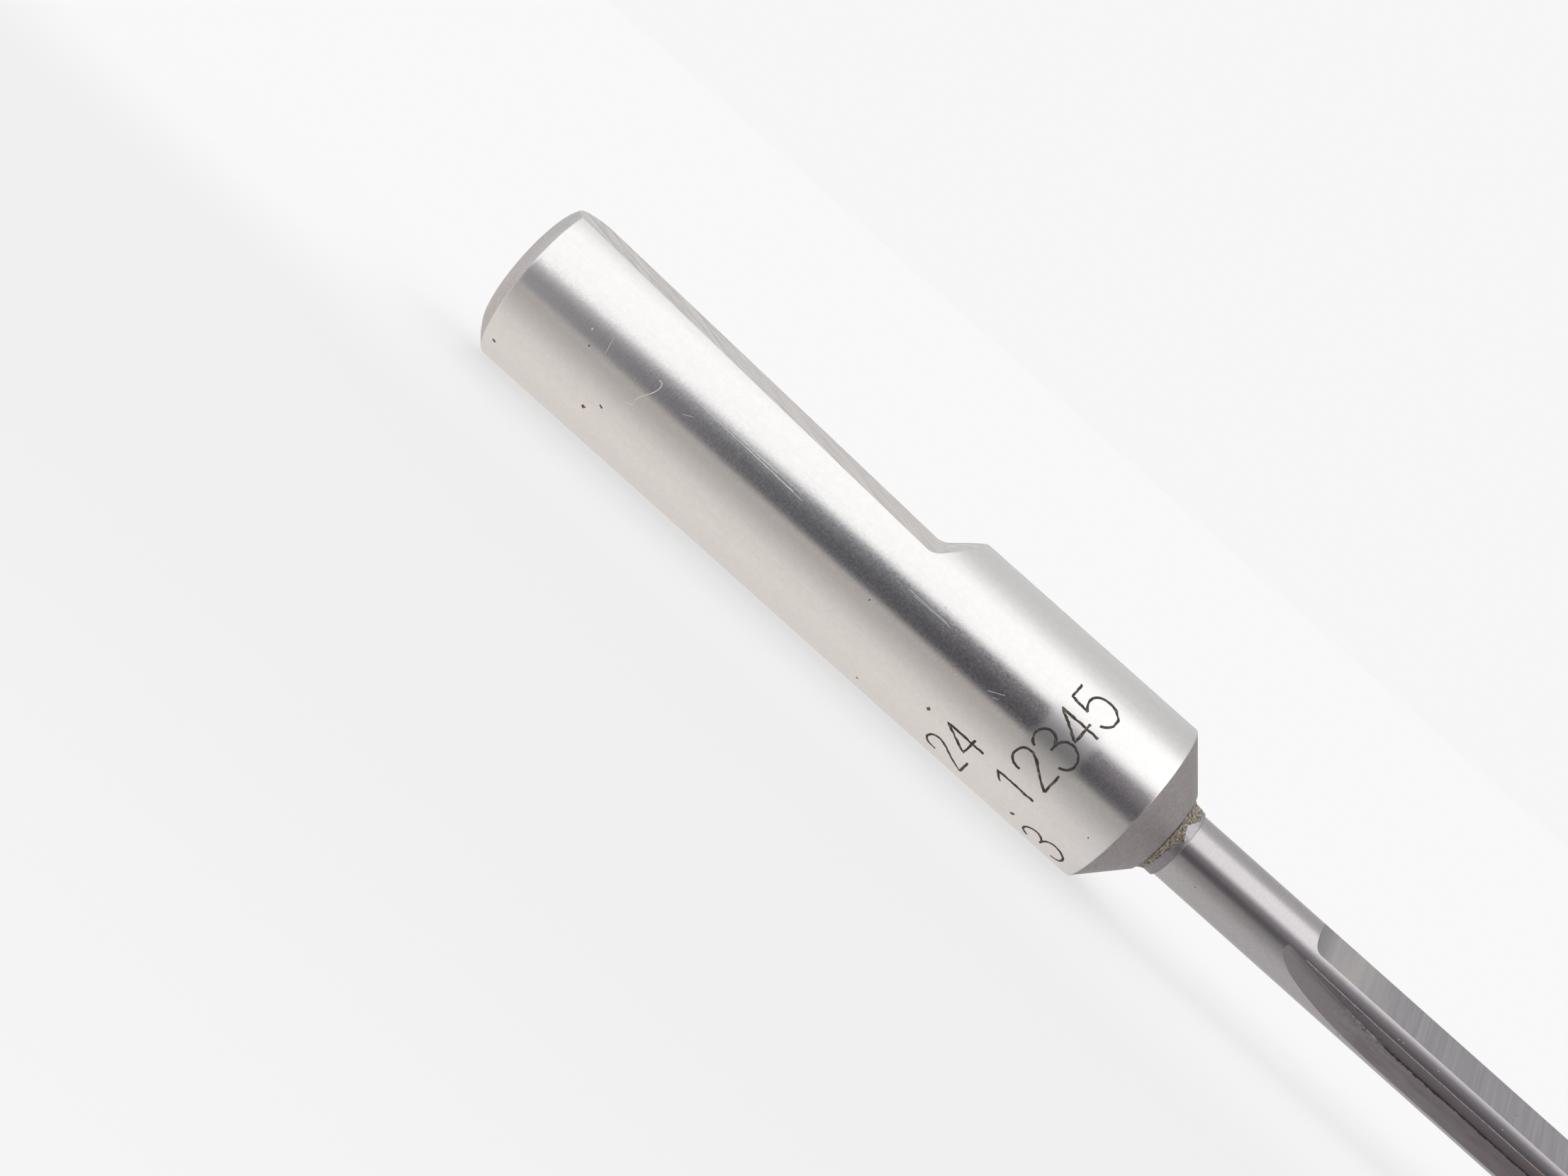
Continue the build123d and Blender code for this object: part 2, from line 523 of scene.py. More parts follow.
# %% [markdown]
# ## Steel finishes
# The shank is ground and bright, with hair-fine lines round it. The clamping flat is ground
# on a slant and stays grey. The nose and the rear chamfer are only turned, then cleaned by
# fine blasting after brazing, which leaves an even grain.


# %% Bright shank
# From the axis towards the camera
camera_side = across(172.8)


def make_shank_finish():
    """Ground bright steel, and a hazy spot where it was rubbed after the numbers were cut."""
    material, shader = new_finish("ground shank", (0.84, 0.83, 0.82), 1.0, 0.15)
    rings = noise(14.0, 3.0, 0.6, (1, 0.06, 0.06))
    grain = noise(8.0, 6.0, 0.8)
    mottle = noise(2.6, 6.0, 0.75)
    streaks = noise(6.0, 4.0, 0.7, (0.07, 1, 1))
    colour = mix(ramp(mottle, 0.3, 0.7), (0.862, 0.850, 0.838), (0.820, 0.812, 0.804))
    colour = mix(ramp(streaks, 0.52, 0.68, 0, 0.5), colour, (0.80, 0.79, 0.78))
    feed(shader.inputs["Base Color"], colour)
    rubbed = between(along(), -7.0, -6.3, -4.1, -3.4)
    seen_part = ramp(toward(camera_side), 4.55, 4.85)
    rubbed = times(rubbed, seen_part)
    polished = ramp(grain, 0.36, 0.62, 0.07, 0.22)
    feed(shader.inputs["Roughness"], mix(rubbed, polished, 0.29, numbers=True))
    height = calc("ADD", times(rings, 0.5), grain)
    bump(shader, height, 0.0054, 0.5)
    return material


# %% Clamping flat
def make_flat_finish():
    """Ground by a wheel that crossed it on a slant: wavy lines, and a soft grey shine."""
    material, shader = new_finish("ground flat", (0.8, 0.78, 0.76), 1.0, 0.38)
    lines = noise(2.8, 5.0, 0.68, (0.05, 1, 1), -48.0)
    crossing = noise(2.4, 4.0, 0.62, (0.07, 1, 1), -38.0)
    counter = noise(2.4, 4.0, 0.62, (0.07, 1, 1), -60.0)
    patches = noise(1.4, 5.0, 0.65, (0.3, 1, 1))
    colour = mix(ramp(lines, 0.38, 0.62), (0.76, 0.71, 0.69), (0.93, 0.88, 0.855))
    colour = mix(ramp(crossing, 0.56, 0.63, 0, 0.6), colour, (0.48, 0.45, 0.435))
    colour = mix(ramp(counter, 0.57, 0.64, 0, 0.55), colour, (0.50, 0.47, 0.455))
    colour = mix(ramp(patches, 0.4, 0.7, 0, 0.2), colour, (0.62, 0.59, 0.57))
    feed(shader.inputs["Base Color"], colour)
    height = calc("ADD", lines, calc("ADD", crossing, counter))
    bump(shader, height, 0.006, 0.6)
    return material


# %% Fine-blasted steel
def make_blasted_finish(name, light, dark):
    """An even matt grain, with small darker pits."""
    material, shader = new_finish(name, light, 1.0, 0.46)
    grain = noise(8.0, 6.0, 0.8)
    fine = noise(20.0, 3.0, 0.7)
    cloud = noise(1.8, 4.0, 0.6)
    colour = mix(ramp(grain, 0.32, 0.68), dark, light)
    colour = mix(ramp(cloud, 0.35, 0.7, 0.0, 0.3), colour, dark)
    feed(shader.inputs["Base Color"], colour)
    bump(shader, calc("ADD", grain, times(fine, 0.5)), 0.022, 0.75)
    return material


# %% Inside of the driver
def make_bore_finish():
    """Drilled steel, with the drill's rings."""
    material, shader = new_finish("drilled steel", (0.30, 0.29, 0.28), 1.0, 0.45)
    rings = noise(12.0, 3.0, 0.6, (1, 0.06, 0.06))
    feed(shader.inputs["Base Color"], mix(rings, (0.22, 0.21, 0.2), (0.4, 0.39, 0.38)))
    bump(shader, rings, 0.006, 0.7)
    return material


steel = {
    "shank": make_shank_finish(),
    "flat": make_flat_finish(),
    "nose": make_blasted_finish("blasted nose", (0.52, 0.485, 0.48), (0.35, 0.32, 0.32)),
    "rear": make_blasted_finish("turned chamfer", (0.78, 0.755, 0.76), (0.60, 0.575, 0.58)),
    "bore": make_bore_finish(),
}
print("steel finishes:", list(steel))

# %% [markdown]
# ## The driver
# The driver is turned, so its outline is spun, and its outer edges get a small round. Then
# a block in the shape of the grinding wheel's path takes the clamping flat away.

# %% Driver body
mouth_depth = (centre_mouth_radius - coolant_bore_radius) / tan(radians(30))
chamfer_middle = (rear_face + 0.40, shank_radius - rear_chamfer_depth + 0.57)
nose_fall = (shank_radius - nose_radius) / nose_face
# Rings close beside each bevel keep the smooth shading flat on the long faces
driver_outline = [
    (rear_face, centre_mouth_radius),
    (rear_face, shank_radius - rear_chamfer_depth),
    chamfer_middle,
    (rear_face + rear_chamfer_length, shank_radius),
    (rear_face + rear_chamfer_length + 0.12, shank_radius),
    (-27.0, shank_radius),
    (-14.0, shank_radius),
    (-0.08, shank_radius),
    (0, shank_radius),
    (0.10, shank_radius - 0.10 * nose_fall),
    (nose_face - 0.12, nose_radius + 0.12 * nose_fall),
    (nose_face, nose_radius),
    (nose_face, socket_radius),
    (socket_floor, socket_radius),
    (socket_floor, coolant_bore_radius),
    (rear_face + mouth_depth, coolant_bore_radius),
]
# Each outer edge that is rounded: its place along the axis, its radius and the round
driver_rounds = [
    (0, shank_radius, 0.03),
    (nose_face, nose_radius, 0.07),
    (rear_face + rear_chamfer_length, shank_radius, 0.06),
    (rear_face, shank_radius - rear_chamfer_depth, 0.12),
]


def make_flat_cutter():
    """The space above the flat and its ramp, with the wheel's rounded corner."""
    high = 8.0
    half_width = 7.0
    back = rear_face - 2.0
    rise = (flat_end - back) * tan(flat_slope)
    run = high - flat_end_height
    outline = [
        (back, flat_end_height + rise),
        (flat_end, flat_end_height),
        (flat_end + run, high),
        (back, high),
    ]
    near_side = [(x * MM, -half_width * MM, z * MM) for x, z in outline]
    shape = prism(near_side, (0, 2 * half_width * MM, 0))
    corner = [
        e for e in shape.edges
        if all(near(v.co.x, flat_end * MM) and near(v.co.z, flat_end_height * MM) for v in e.verts)
    ]
    # The flat and its ramp meet at a turn of 43 degrees
    round_off(shape, corner, flat_corner_radius * tan(radians(43 / 2)), 10)
    return closed_cutter(shape, "flat cutter")


def driver_finish_at(face):
    """The name of the steel finish on a face of the driver."""
    middle = face.center / MM
    radius = hypot(middle.y, middle.z)
    if middle.x > rear_face + 0.01 and radius < 2.4 and middle.x < nose_face - 0.01:
        return "bore"
    if middle.x < rear_face + rear_chamfer_length:
        return "rear"
    if middle.x > 0.01:
        return "nose"
    if radius < shank_radius - 0.02 or face.normal.z > 0.999:
        return "flat"
    return "shank"


def make_driver():
    shape = spin_outline(driver_outline)
    for x, radius, width in driver_rounds:
        bevel_ring(shape, x, radius, width)
    piece = finish_piece(shape, "driver_body", list(steel.values()))
    cut_away(piece, make_flat_cutter())
    give_finishes(piece, steel, driver_finish_at)
    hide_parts("driver")


make_driver()

# %% [markdown]
# ## Carbide finishes
# Cemented carbide is a dark, hard metal. Ground with a fine diamond wheel it has a satin
# shine, and each ground face keeps the marks of its own wheel.


# %% Ground carbide
def make_carbide(name, light, dark, roughness, scale, stretch, depth):
    """A ground carbide face whose wheel marks are noise, drawn out along the wheel's path."""
    material, shader = new_finish(name, light, 1.0, roughness)
    marks = noise(scale, 4.0, 0.6, stretch)
    grain = noise(22.0, 5.0, 0.8)
    colour = mix(ramp(marks, 0.3, 0.7), dark, light)
    colour = mix(ramp(grain, 0.45, 0.75, 0.0, 0.35), colour, dark)
    feed(shader.inputs["Base Color"], colour)
    height = calc("ADD", marks, times(grain, 0.8))
    bump(shader, height, depth, 0.5)
    return material, shader, colour


# %% Round rod and margin
def make_round_finish():
    """The rod's round: a fine bright grain with hair-fine rings, darker in colour on the margins."""
    material, shader, colour = make_carbide(
        "ground round", (0.580, 0.555, 0.560), (0.515, 0.492, 0.50), 0.16, 20.0,
        (1.0, 0.2, 0.2), 0.0036,
    )
    # Darker along the axis from 10.5 mm to 24 mm and on, over the margins
    darker_on_margins = ramp(along(), 10.5, 24.0)
    feed(shader.inputs["Base Color"], mix(darker_on_margins, colour, (0.455, 0.43, 0.44)))
    return material


# %% Relief flat
def make_relief_finish():
    """The relief is ground across, and its wheel chattered a little. Painted shade darkens it where it
    starts, beside the wheel's round corner.
    """
    material, shader, colour = make_carbide(
        "ground relief", (0.50, 0.482, 0.50), (0.405, 0.39, 0.41), 0.32, 5.5,
        (1.0, 0.04, 0.04), 0.0016,
    )
    wide = noise(1.6, 3.0, 0.6, (1, 0.05, 0.05))
    colour = mix(ramp(wide, 0.42, 0.58, 0.0, 0.4), colour, (0.395, 0.385, 0.415))
    x = along()
    cloud = noise(0.9, 3.0, 0.6)
    # Painted shade: darker clouds where the face starts, beside the wheel's round corner
    starting = ramp(x, relief_start + 0.5, relief_start + 1.3, 1.0, 0.0)
    painted_corner_shade = times(ramp(cloud, 0.35, 0.65, 0.55, 1.0), starting)
    colour = mix(painted_corner_shade, colour, (0.385, 0.38, 0.385))
    light_zone = between(x, 11.9, 12.7, 13.6, 17.5)
    broken = times(light_zone, ramp(wide, 0.35, 0.6, 0.5, 0.95))
    feed(shader.inputs["Base Color"], mix(broken, colour, (0.60, 0.575, 0.565)))
    return material


# %% Flute walls
dirt = (0.035, 0.028, 0.033)
brown_film = (0.24, 0.185, 0.18)
# Painted shade in the flute's root where it runs out
painted_root_shade_grey = (0.27, 0.245, 0.255)
# Behind the full depth the root drifts sideways by this, times the distance squared
root_drift = -cos(radians(plunge_angle - root_angle - 90)) / (2 * wheel_radius)


def beside_root(x):
    """How far a point lies to the side of the flute's root, which curves out at its end."""
    side = toward(across(root_angle + 90))
    half = calc("SIGN", toward(across(root_angle)))
    behind = calc("MAXIMUM", calc("SUBTRACT", flute_full_depth, x), 0.0)
    drift = times(times(behind, behind), root_drift)
    return calc("ABSOLUTE", calc("ADD", times(side, half), drift))


def flute_film(colour, x):
    """A brownish film over the colour, in patches, and thicker towards the point."""
    film = noise(1.6, 5.0, 0.65, (0.12, 1, 1))
    colour = mix(ramp(film, 0.45, 0.75, 0.0, 0.4), colour, brown_film)
    return mix(ramp(x, 14.0, 30.0, 0.0, 0.45), colour, brown_film)


def root_dirt(x, from_root, blotches):
    """The ragged line of dirt along the root, which begins in front of the run-out."""
    ragged = calc("ADD", from_root, ramp(blotches, 0.25, 0.8, 0.03, -0.07))
    unsure = calc("ADD", x, times(blotches, 3.0))
    line = ramp(ragged, 0.02, 0.09, 1.0, 0.0)
    return times(line, ramp(unsure, 18.0, 19.2))


def flute_stains(x, from_root, blotches):
    """Dark stains beside the root in the run-out, and dark places along the chipped lip."""
    beside = ramp(from_root, 0.1, 0.75, 1.0, 0.0)
    stained = times(between(x, 13.4, 15.0, 17.2, 19.0), beside)
    stained = times(stained, ramp(blotches, 0.46, 0.58, 0.0, 0.75))
    near_lip = ramp(toward(across(lip_angle)), 1.62, 1.85)
    chipped = times(between(x, 12.9, 13.3, 15.4, 16.6), near_lip)
    chipped = times(chipped, ramp(blotches, 0.44, 0.54, 0.0, 0.8))
    return calc("MAXIMUM", stained, chipped)


def make_flute_finish(name, light, dark, run_out_grey):
    """A wall of the flute: fine lines lengthwise, a brownish film, dirt along the root, and painted
    shade in the root where it runs out.
    """
    material, shader, colour = make_carbide(
        name, light, dark, 0.42, 20.0, (0.05, 1, 1), 0.0020,
    )
    x = along()
    from_root = beside_root(x)
    blotches = noise(5.0, 6.0, 0.75, (0.6, 1, 1))
    run_out = ramp(x, 13.6, 17.6, 1.0, 0.0)
    # Where the flute runs out, each wall fades to a grey closer to the other wall's, which narrows the
    # painted shade and light between them
    blend_in = times(run_out, ramp(from_root, 0.0, 0.42, 1.0, 0.25))
    colour = mix(blend_in, flute_film(colour, x), run_out_grey)
    # Painted shade: the root is darker and duller where the flute runs out
    painted_root_shade = times(run_out, ramp(from_root, 0.04, 0.20, 0.5, 0.0))
    colour = mix(painted_root_shade, colour, painted_root_shade_grey)
    line = root_dirt(x, from_root, blotches)
    dirty = calc("MAXIMUM", line, flute_stains(x, from_root, blotches))
    feed(shader.inputs["Base Color"], mix(dirty, colour, dirt))
    feed(shader.inputs["Metallic"], ramp(dirty, 0.0, 1.0, 1.0, 0.2))
    dull = calc("MAXIMUM", dirty, painted_root_shade)
    feed(shader.inputs["Roughness"], ramp(dull, 0.0, 1.0, 0.42, 0.85))
    return material


carbide = {
    "round": make_round_finish(),
    "relief": make_relief_finish(),
    # The same ground carbide on both walls: the cutting face's darker colour is painted shade, and the
    # back wall's lighter colour is painted light
    "cutting face": make_flute_finish(
        "cutting face", (0.31, 0.285, 0.31), (0.24, 0.22, 0.24), (0.375, 0.34, 0.355),
    ),
    "back wall": make_flute_finish(
        "back wall", (0.68, 0.635, 0.65), (0.56, 0.515, 0.53), (0.55, 0.51, 0.525),
    ),
    "ends": make_carbide(
        "ground point", (0.60, 0.59, 0.60), (0.5, 0.49, 0.5), 0.28, 12.0, (1, 1, 0.2), 0.002,
    )[0],
}
print("carbide finishes:", list(carbide))

# %% [markdown]
# ## The drill
# The real drill starts as a plain carbide rod. Wheels then grind the reliefs, the flutes and
# the point. The same is done here: the rod is spun, and a cutter in the shape of each
# wheel's path takes its space away. Every cut is made twice, half a turn apart.

# %% Cutters for the drill
def flute_walls():
    """The flute's root, and the directions in which its two walls run out from it."""
    root = across(root_angle, root_distance)
    edge = across(lip_angle, drill_radius) - root
    face_angle = degrees(atan2(edge.z, edge.y))
    return root, face_angle, face_angle + flute_angle


def make_flute_cutter():
    """The V groove: straight in front, and rising round the wheel's own axis at its end."""
    root, face_angle, back_angle = flute_walls()
    start = Vector((flute_full_depth, 0, 0))
    far = 8.0
    length = 100.0
    wheel_rise = 7.9
    corners = [root, root + across(face_angle, far), root + across(back_angle, far)]
    shape = bmesh.new()
    points = [shape.verts.new((start + corner) * MM) for corner in corners]
    shape.faces.new(points)
    setback = root_radius * tan(radians(90 - flute_angle / 2))
    round_off(shape, [points[0]], setback, 6, "VERTICES")
    loop = shape.edges[:]
    bmesh.ops.delete(shape, geom=shape.faces[:], context="FACES_ONLY")
    plunge = across(plunge_angle)
    wheel_centre = start + root + plunge * wheel_radius
    sweep = acos(1 - wheel_rise / (wheel_radius + wheel_rise))
    rise = bmesh.ops.spin(
        shape, geom=shape.verts[:] + loop, cent=wheel_centre * MM,
        axis=plunge.cross(Vector((1, 0, 0))), dvec=(0, 0, 0), angle=sweep, steps=40,
    )
    highest = only(bmesh.types.BMEdge, rise["geom_last"])
    front = bmesh.ops.extrude_edge_only(shape, edges=loop)
    moved = only(bmesh.types.BMVert, front["geom"])
    foremost = only(bmesh.types.BMEdge, front["geom"])
    bmesh.ops.translate(shape, verts=moved, vec=(length * MM, 0, 0))
    bmesh.ops.contextual_create(shape, geom=highest)
    bmesh.ops.contextual_create(shape, geom=foremost)
    return closed_cutter(shape, "flute cutter")


def make_relief_cutter():
    """The block above the relief flat, with the wheel's round corner at its near end."""
    length = 110.0
    width = 8.0
    height = 4.0
    shape = bmesh.new()
    bmesh.ops.create_cube(shape, size=1.0)
    bmesh.ops.scale(shape, verts=shape.verts, vec=(length * MM, width * MM, height * MM))
    middle = (relief_start + length / 2, 0, relief_seat + height / 2)
    bmesh.ops.translate(shape, verts=shape.verts, vec=Vector(middle) * MM)
    near_edge = [
        e for e in shape.edges
        if all(v.co.x < (relief_start + 1) * MM and v.co.z < (relief_seat + 1) * MM for v in e.verts)
    ]
    round_off(shape, near_edge, relief_corner_radius, 10)
    turn = Matrix.Rotation(radians(relief_angle - 90), 3, "X")
    bmesh.ops.rotate(shape, verts=shape.verts, cent=(0, 0, 0), matrix=turn)
    return closed_cutter(shape, "relief cutter")


def make_channel_cutter():
    """A coolant channel, straight through the land from end to end."""
    shape = bmesh.new()
    length = 140.0
    turn = Matrix.Rotation(radians(90), 4, "Y")
    centre = across(channel_angle, channel_distance)
    centre.x = (socket_floor + drill_tip) / 2
    bmesh.ops.create_cone(
        shape, cap_ends=True, segments=32, radius1=channel_radius * MM,
        radius2=channel_radius * MM, depth=length * MM,
        matrix=Matrix.Translation(centre * MM) @ turn,
    )
    return closed_cutter(shape, "channel cutter")


def make_flank_cutter():
    """Everything in front of the first lip's flank, a plane that falls away behind it."""
    ahead = Vector((1, 0, 0))
    cone = ahead * sin(point_half_angle) + across(lip_angle) * cos(point_half_angle)
    normal = cone * cos(lip_clearance) - across(lip_angle + 90) * sin(lip_clearance)
    turn = Vector((0, 0, 1)).rotation_difference(normal).to_matrix()
    size = 24.0
    shape = bmesh.new()
    bmesh.ops.create_cube(shape, size=size * MM)
    bmesh.ops.translate(shape, verts=shape.verts, vec=(0, 0, size / 2 * MM))
    bmesh.ops.rotate(shape, verts=shape.verts, cent=(0, 0, 0), matrix=turn)
    bmesh.ops.translate(shape, verts=shape.verts, vec=(drill_tip * MM, 0, 0))
    return closed_cutter(shape, "flank cutter")


def make_gash_cutter():
    """A wedge whose one side carries the first lip in to the thinned web."""
    ahead = Vector((1, 0, 0))
    lip = across(lip_angle)
    bottom_line = ahead * -cos(gash_slope) + lip * sin(gash_slope)
    face_line = ahead * sin(gash_slope) + lip * cos(gash_slope)
    side_line = bottom_line.cross(face_line)
    start = ahead * drill_tip + across(lip_angle + 90, thinned_web / 2)
    far = 12.0
    corners = [
        start,
        start + face_line * far,
        start + (face_line * cos(gash_angle) - side_line * sin(gash_angle)) * far,
    ]
    near_side = [(corner - bottom_line * far) * MM for corner in corners]
    return closed_cutter(prism(near_side, bottom_line * 2 * far * MM), "gash cutter")


def cut_twice(piece, make_cutter):
    """Cut with the cutter, and with its copy half a turn round the axis."""
    for half_turns in (0, 1):
        cutter = make_cutter()
        cutter.data.transform(Matrix.Rotation(pi * half_turns, 4, "X"))
        cut_away(piece, cutter, 12.0)


# %% Drill body
face_direction, back_direction = flute_walls()[1:]
cutting_normal = across(face_direction + 90)
back_normal = across(back_direction - 90)
relief_normal = across(relief_angle)


def drill_finish_at(face):
    """The name of the carbide finish on a face of the drill."""
    middle = face.center / MM
    normal = face.normal
    radius = hypot(middle.y, middle.z)
    sideways = Vector((0, middle.y, middle.z))
    out = sideways.normalized()
    if abs(normal.x) > 0.3 and (middle.x > 100 or middle.x < 0):
        return "ends"
    if normal.dot(out) > 0.998 and out.length > 0.5 and radius > drill_radius - 0.02:
        return "round"
    side = 1 if middle.dot(across(channel_angle)) > 0 else -1
    if normal.dot(relief_normal) * side > 0.9995:
        return "relief"
    if middle.x < relief_start + 0.7 and middle.dot(relief_normal) * side > relief_seat - 0.01:
        return "relief"
    if radius < channel_distance + channel_radius + 0.01:
        in_channel = sideways - across(channel_angle, channel_distance) * side
        if in_channel.length < channel_radius + 0.01:
            return "back wall"
    on_cutting_face = abs(normal.dot(cutting_normal)) > abs(normal.dot(back_normal))
    return "cutting face" if on_cutting_face else "back wall"


rod_outline = [
    (socket_floor, 0),
    (socket_floor, drill_radius - rod_rear_chamfer),
    (socket_floor + rod_rear_chamfer, drill_radius),
    (drill_tip + 0.5, drill_radius),
    (drill_tip + 0.5, 0),
]
drill_cutters = [
    make_relief_cutter, make_flute_cutter, make_channel_cutter,
    make_flank_cutter, make_gash_cutter,
]


def make_drill():
    shape = spin_outline(rod_outline, 160, closed=False)
    piece = finish_piece(shape, "drill_body", list(carbide.values()), 18.0)
    for make_cutter in drill_cutters:
        cut_twice(piece, make_cutter)
    give_finishes(piece, carbide, drill_finish_at)
    lengths = [v.co.x for v in piece.data.vertices]
    print("drill runs from", round(min(lengths) / MM, 2), "to", round(max(lengths) / MM, 2), "mm")
    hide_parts("drill")


make_drill()

# %% [markdown]
# ## The braze
# Silver solder filled the gap between rod and socket and ran out in front of the nose. At
# its foot, flux and heat left a grainy golden-brown crust.


# %% Braze finish
def make_braze_finish():
    """Grey solder, darker on its lower side as painted shade, and the crust where the piece's crust
    attribute says that it lies.
    """
    material, shader = new_finish("braze", (0.5, 0.49, 0.52), 1.0, 0.3)
    attribute = tree.nodes.new("ShaderNodeAttribute")
    attribute.attribute_name = "crust"
    crust = ramp(attribute.outputs["Fac"], 0.35, 0.65)
    rim = ramp(attribute.outputs["Fac"], 0.65, 0.95, 1.0, 0.0)
    grain = noise(7.0, 6.0, 0.8)
    spots = noise(7.0, 5.0, 0.75)
    golden = mix(ramp(grain, 0.36, 0.64), (0.085, 0.068, 0.052), (0.37, 0.305, 0.245))
    golden = mix(ramp(spots, 0.57, 0.64), golden, (0.70, 0.61, 0.50))
    golden = mix(ramp(spots, 0.46, 0.38), golden, (0.035, 0.030, 0.025))
    golden = mix(times(rim, 0.5), golden, (0.06, 0.05, 0.045))
    beside_nose = ramp(along(), nose_face + 0.02, nose_face + 0.12, 0.85, 0.0)
    golden = mix(beside_nose, golden, (0.05, 0.043, 0.038))
    solder = mix(ramp(grain, 0.3, 0.7), (0.39, 0.38, 0.40), (0.51, 0.495, 0.525))
    # Painted shade: the solder is darker on its lower side
    below = ramp(toward(across(82.8)), -1.6, 0.4, 0.75, 0.0)
    solder = mix(below, solder, (0.28, 0.27, 0.29))
    feed(shader.inputs["Base Color"], mix(crust, solder, golden))
    feed(shader.inputs["Metallic"], ramp(crust, 0.0, 1.0, 1.0, 0.25))
    feed(shader.inputs["Roughness"], ramp(crust, 0.0, 1.0, 0.30, 0.62))
    bump(shader, grain, 0.012, 0.7)
    return material


# %% Braze collar
braze_foot_radius = drill_radius + 0.40
braze_land_radius = drill_radius + 0.13
braze_length = 1.0
foot_length = 0.55
front_round = 0.06
crust_softness = 0.06
noise_at = turbulence_noise.noise
# How far the crust reaches in front of the nose at an angle round the rod, in millimetres
crust_reach = [
    (-60, 0.45), (0, 0.55), (80, 0.70), (112, 0.80), (128, 0.74), (138, 0.50), (147, 0.48),
    (156, 0.60), (165, 0.76), (174, 0.70), (182, 0.50), (201, 0.42), (222, 0.38), (300, 0.45),
]


def crust_front(angle, point):
    """The crust's ragged front: its reach at this angle, and lumps that come and go."""
    angle = (angle + 60) % 360 - 60
    reach = crust_reach[-1][1]
    for (a0, r0), (a1, r1) in zip(crust_reach, crust_reach[1:]):
        if a0 <= angle <= a1:
            reach = r0 + (r1 - r0) * (angle - a0) / (a1 - a0)
    return reach + noise_at(point * 2.6) * 0.12 + noise_at(point * 7.0) * 0.07


def braze_outline(steps=26):
    """The collar's half outline: a hollow foot at the nose, and a rounded front edge."""
    outline = [(nose_face - 0.03, drill_radius)]
    for step in range(steps + 1):
        x = braze_length * step / steps
        fall = max(0.0, 1 - x / foot_length) ** 2
        radius = braze_land_radius + (braze_foot_radius - braze_land_radius) * fall
        lip = max(0.0, x - (braze_length - front_round))
        outline.append((nose_face + x, radius - front_round * (lip / front_round) ** 2))
    outline.append((nose_face + braze_length, drill_radius))
    return outline


def raise_crust(shape):
    """Lift the collar's outside by its lumps. Returns each point's share of crust."""
    crust = {}
    for vertex in shape.verts:
        point = vertex.co / MM
        if hypot(point.y, point.z) < drill_radius + 0.02:
            continue
        angle = degrees(atan2(point.z, point.y))
        inside = (crust_front(angle, point) - (point.x - nose_face)) / crust_softness
        share = min(1.0, max(0.0, inside + 0.5))
        lump = 0.030 + 0.045 * noise_at(point * 6.0) + 0.025 * noise_at(point * 15.0)
        grow = share * max(-0.02, lump) + (1 - share) * 0.008 * noise_at(point * 3.0)
        if point.x < nose_face + 0.05:
            grow = min(grow, 0.0) - 0.02
        vertex.co += Vector((0, point.y, point.z)).normalized() * grow * MM
        crust[vertex.index] = share
    return crust


def make_braze():
    shape = spin_outline(braze_outline(), 220)
    crust = raise_crust(shape)
    piece = finish_piece(shape, "braze_collar", [make_braze_finish()], 50.0)
    layer = piece.data.attributes.new("crust", "FLOAT", "POINT")
    for index, share in crust.items():
        layer.data[index].value = share
    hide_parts("braze_joint")


make_braze()

# %% [markdown]
# ## Lines on a round
# Numbers, scratches and the painted bright line along a ground edge are all thin lines that
# lie on a cylinder. Each is drawn flat as a curve with a little thickness, made a mesh, and
# then wrapped round the axis and pressed down, so that it stands at most about two
# hundredths of a millimetre proud.


# %% Line helpers
# How far a line's middle stands above the round, and what is left of its own thickness
line_lift = 0.003
line_press = 0.15


def draw_flat(path, width, bent):
    """A mesh of one line in the XY plane. Its points are flat places in millimetres."""
    curve = bpy.data.curves.new("line", "CURVE")
    curve.dimensions = "3D"
    curve.bevel_depth = width / 2
    curve.bevel_resolution = 2
    curve.use_fill_caps = True
    spline = curve.splines.new("NURBS" if bent else "POLY")
    spline.points.add(len(path) - 1)
    for point, (x, y) in zip(spline.points, path):
        point.co = (x, y, 0, 1)
    if bent:
        spline.order_u = 4
        spline.resolution_u = 8
        spline.use_endpoint_u = True
    holder = bpy.data.objects.new("line", curve)
    mesh = bpy.data.meshes.new_from_object(holder)
    bpy.data.objects.remove(holder)
    bpy.data.curves.remove(curve)
    return mesh


def finer(path, step):
    """The same straight runs with more points, so that they can follow a round."""
    points = [path[0]]
    for (x0, y0), (x1, y1) in zip(path, path[1:]):
        count = max(1, ceil(hypot(x1 - x0, y1 - y0) / step))
        for k in range(1, count + 1):
            points.append((x0 + (x1 - x0) * k / count, y0 + (y1 - y0) * k / count))
    return points


def line_piece(name, lines, radius, finish, rough=0.0):
    """One object of many lines. Each is its path of (x, angle) places, its width and if it bends."""
    shape = bmesh.new()
    for path, width, bent in lines:
        flat = [(x, radians(angle) * radius) for x, angle in path]
        mesh = draw_flat(flat if bent else finer(flat, max(0.12, width)), width, bent)
        shape.from_mesh(mesh)
        bpy.data.meshes.remove(mesh)
    for vertex in shape.verts:
        shiver = rough * noise_at(vertex.co * 4.0)
        turn_by = (vertex.co.y + shiver) / radius
        out = radius + line_lift + vertex.co.z * line_press
        place_on = Vector((vertex.co.x - shiver, out * cos(turn_by), out * sin(turn_by)))
        vertex.co = place_on * MM
    bmesh.ops.recalc_face_normals(shape, faces=shape.faces)
    piece = finish_piece(shape, name, [finish], 60.0)


